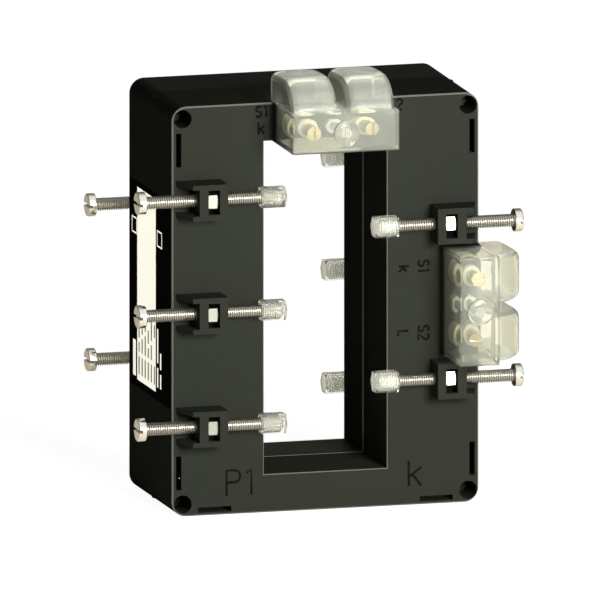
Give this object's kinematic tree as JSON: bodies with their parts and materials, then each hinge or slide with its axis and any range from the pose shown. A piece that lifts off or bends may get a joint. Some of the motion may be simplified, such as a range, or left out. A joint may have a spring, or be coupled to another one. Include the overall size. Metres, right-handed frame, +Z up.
{
  "type": "current transformer",
  "caption": "Window type (busbar) current transformer: flat black case round a tall window, long slotted clamp screws with clear caps, and secondary terminals under clear sealed covers.",
  "frame": {"origin": "centre of the case's bottom face", "axes": "+Z up along the window's long side, front (terminal side) towards -Y, +X to the right"},
  "size_m": [0.1204, 0.0839, 0.1357],
  "materials": {
    "black_plastic": "fine grained flame retardant moulding",
    "clear_plastic": "clear polycarbonate, slightly warm",
    "nickel_steel": "bright nickel plate",
    "zinc_steel": "zinc plate",
    "brass": "turned brass",
    "cream_plastic": "satin moulding",
    "white_plastic": "satin moulding",
    "core_steel": "annealed strip edges",
    "bobbin_plastic": "natural glass filled nylon",
    "winding": "enamelled copper wire, density taken as brass",
    "wire_cover": "insulated hook-up wire",
    "label_film": "printed film, black with a pale field"
  },
  "bodies": {
    "case": {"front_case": "black_plastic", "rear_case": "black_plastic", "case_screws": "zinc_steel", "front_left_top_bracket": "black_plastic", "front_left_middle_bracket": "black_plastic", "front_left_bottom_bracket": "black_plastic", "front_right_top_bracket": "black_plastic", "front_right_bottom_bracket": "black_plastic", "rear_left_top_bracket": "black_plastic", "rear_left_bottom_bracket": "black_plastic", "rear_right_top_bracket": "black_plastic", "rear_right_middle_bracket": "black_plastic", "rear_right_bottom_bracket": "black_plastic", "clamp_nuts": "nickel_steel", "top_terminal_block": "black_plastic", "top_terminal_cover": "clear_plastic", "top_cover_screw": "clear_plastic", "top_cover_post": "white_plastic", "top_s1_collar": "cream_plastic", "top_s2_collar": "cream_plastic", "top_s1_lead": "wire_cover", "top_s2_lead": "wire_cover", "side_terminal_block": "black_plastic", "side_terminal_cover": "clear_plastic", "side_cover_screw": "clear_plastic", "side_cover_post": "white_plastic", "side_s1_collar": "cream_plastic", "side_s2_collar": "cream_plastic", "side_s1_lead": "wire_cover", "side_s2_lead": "wire_cover", "terminal_screws": "brass", "terminal_inserts": "brass", "core": "core_steel", "left_bobbin": "bobbin_plastic", "right_bobbin": "bobbin_plastic", "left_coil": "winding", "right_coil": "winding", "coil_link": "wire_cover", "side_label": "label_film"},
    "front_left_top_cap": {"front_left_top_cap": "clear_plastic"},
    "front_left_top_screw": {"front_left_top_screw": "nickel_steel"},
    "front_left_middle_cap": {"front_left_middle_cap": "clear_plastic"},
    "front_left_middle_screw": {"front_left_middle_screw": "nickel_steel"},
    "front_left_bottom_cap": {"front_left_bottom_cap": "clear_plastic"},
    "front_left_bottom_screw": {"front_left_bottom_screw": "nickel_steel"},
    "front_right_top_cap": {"front_right_top_cap": "clear_plastic"},
    "front_right_top_screw": {"front_right_top_screw": "nickel_steel"},
    "front_right_bottom_cap": {"front_right_bottom_cap": "clear_plastic"},
    "front_right_bottom_screw": {"front_right_bottom_screw": "nickel_steel"},
    "rear_left_top_cap": {"rear_left_top_cap": "clear_plastic"},
    "rear_left_top_screw": {"rear_left_top_screw": "nickel_steel"},
    "rear_left_bottom_cap": {"rear_left_bottom_cap": "clear_plastic"},
    "rear_left_bottom_screw": {"rear_left_bottom_screw": "nickel_steel"},
    "rear_right_top_cap": {"rear_right_top_cap": "clear_plastic"},
    "rear_right_top_screw": {"rear_right_top_screw": "nickel_steel"},
    "rear_right_middle_cap": {"rear_right_middle_cap": "clear_plastic"},
    "rear_right_middle_screw": {"rear_right_middle_screw": "nickel_steel"},
    "rear_right_bottom_cap": {"rear_right_bottom_cap": "clear_plastic"},
    "rear_right_bottom_screw": {"rear_right_bottom_screw": "nickel_steel"}
  },
  "joints": [
    {"name": "front_left_top_travel", "type": "slide", "parent": "case", "child": "front_left_top_cap", "axis": [1, 0, 0], "range_m": [-0.0112, 0.0158]},
    {"name": "front_left_top_turn", "type": "hinge", "parent": "front_left_top_cap", "child": "front_left_top_screw", "pos_m": [0, -0.02865, 0.09775], "axis": [1, 0, 0], "range_deg": [-5761, 8127]},
    {"name": "front_left_middle_travel", "type": "slide", "parent": "case", "child": "front_left_middle_cap", "axis": [1, 0, 0], "range_m": [-0.0112, 0.0158]},
    {"name": "front_left_middle_turn", "type": "hinge", "parent": "front_left_middle_cap", "child": "front_left_middle_screw", "pos_m": [0, -0.02865, 0.06295], "axis": [1, 0, 0], "range_deg": [-5761, 8127]},
    {"name": "front_left_bottom_travel", "type": "slide", "parent": "case", "child": "front_left_bottom_cap", "axis": [1, 0, 0], "range_m": [-0.0112, 0.0158]},
    {"name": "front_left_bottom_turn", "type": "hinge", "parent": "front_left_bottom_cap", "child": "front_left_bottom_screw", "pos_m": [0, -0.02865, 0.02815], "axis": [1, 0, 0], "range_deg": [-5761, 8127]},
    {"name": "front_right_top_travel", "type": "slide", "parent": "case", "child": "front_right_top_cap", "axis": [-1, 0, 0], "range_m": [-0.0112, 0.0158]},
    {"name": "front_right_top_turn", "type": "hinge", "parent": "front_right_top_cap", "child": "front_right_top_screw", "pos_m": [0, -0.02865, 0.08675], "axis": [-1, 0, 0], "range_deg": [-5761, 8127]},
    {"name": "front_right_bottom_travel", "type": "slide", "parent": "case", "child": "front_right_bottom_cap", "axis": [-1, 0, 0], "range_m": [-0.0112, 0.0158]},
    {"name": "front_right_bottom_turn", "type": "hinge", "parent": "front_right_bottom_cap", "child": "front_right_bottom_screw", "pos_m": [0, -0.02865, 0.03915], "axis": [-1, 0, 0], "range_deg": [-5761, 8127]},
    {"name": "rear_left_top_travel", "type": "slide", "parent": "case", "child": "rear_left_top_cap", "axis": [1, 0, 0], "range_m": [-0.0112, 0.0158]},
    {"name": "rear_left_top_turn", "type": "hinge", "parent": "rear_left_top_cap", "child": "rear_left_top_screw", "pos_m": [0, 0.02865, 0.08675], "axis": [1, 0, 0], "range_deg": [-5761, 8127]},
    {"name": "rear_left_bottom_travel", "type": "slide", "parent": "case", "child": "rear_left_bottom_cap", "axis": [1, 0, 0], "range_m": [-0.0112, 0.0158]},
    {"name": "rear_left_bottom_turn", "type": "hinge", "parent": "rear_left_bottom_cap", "child": "rear_left_bottom_screw", "pos_m": [0, 0.02865, 0.03915], "axis": [1, 0, 0], "range_deg": [-5761, 8127]},
    {"name": "rear_right_top_travel", "type": "slide", "parent": "case", "child": "rear_right_top_cap", "axis": [-1, 0, 0], "range_m": [-0.0112, 0.0158]},
    {"name": "rear_right_top_turn", "type": "hinge", "parent": "rear_right_top_cap", "child": "rear_right_top_screw", "pos_m": [0, 0.02865, 0.09775], "axis": [-1, 0, 0], "range_deg": [-5761, 8127]},
    {"name": "rear_right_middle_travel", "type": "slide", "parent": "case", "child": "rear_right_middle_cap", "axis": [-1, 0, 0], "range_m": [-0.0112, 0.0158]},
    {"name": "rear_right_middle_turn", "type": "hinge", "parent": "rear_right_middle_cap", "child": "rear_right_middle_screw", "pos_m": [0, 0.02865, 0.06295], "axis": [-1, 0, 0], "range_deg": [-5761, 8127]},
    {"name": "rear_right_bottom_travel", "type": "slide", "parent": "case", "child": "rear_right_bottom_cap", "axis": [-1, 0, 0], "range_m": [-0.0112, 0.0158]},
    {"name": "rear_right_bottom_turn", "type": "hinge", "parent": "rear_right_bottom_cap", "child": "rear_right_bottom_screw", "pos_m": [0, 0.02865, 0.02815], "axis": [-1, 0, 0], "range_deg": [-5761, 8127]}
  ],
  "couplings": [
    {"joint": "front_left_top_turn", "follows": "front_left_top_travel", "rad_per_m": 8976},
    {"joint": "front_left_middle_turn", "follows": "front_left_middle_travel", "rad_per_m": 8976},
    {"joint": "front_left_bottom_turn", "follows": "front_left_bottom_travel", "rad_per_m": 8976},
    {"joint": "front_right_top_turn", "follows": "front_right_top_travel", "rad_per_m": 8976},
    {"joint": "front_right_bottom_turn", "follows": "front_right_bottom_travel", "rad_per_m": 8976},
    {"joint": "rear_left_top_turn", "follows": "rear_left_top_travel", "rad_per_m": 8976},
    {"joint": "rear_left_bottom_turn", "follows": "rear_left_bottom_travel", "rad_per_m": 8976},
    {"joint": "rear_right_top_turn", "follows": "rear_right_top_travel", "rad_per_m": 8976},
    {"joint": "rear_right_middle_turn", "follows": "rear_right_middle_travel", "rad_per_m": 8976},
    {"joint": "rear_right_bottom_turn", "follows": "rear_right_bottom_travel", "rad_per_m": 8976}
  ]
}
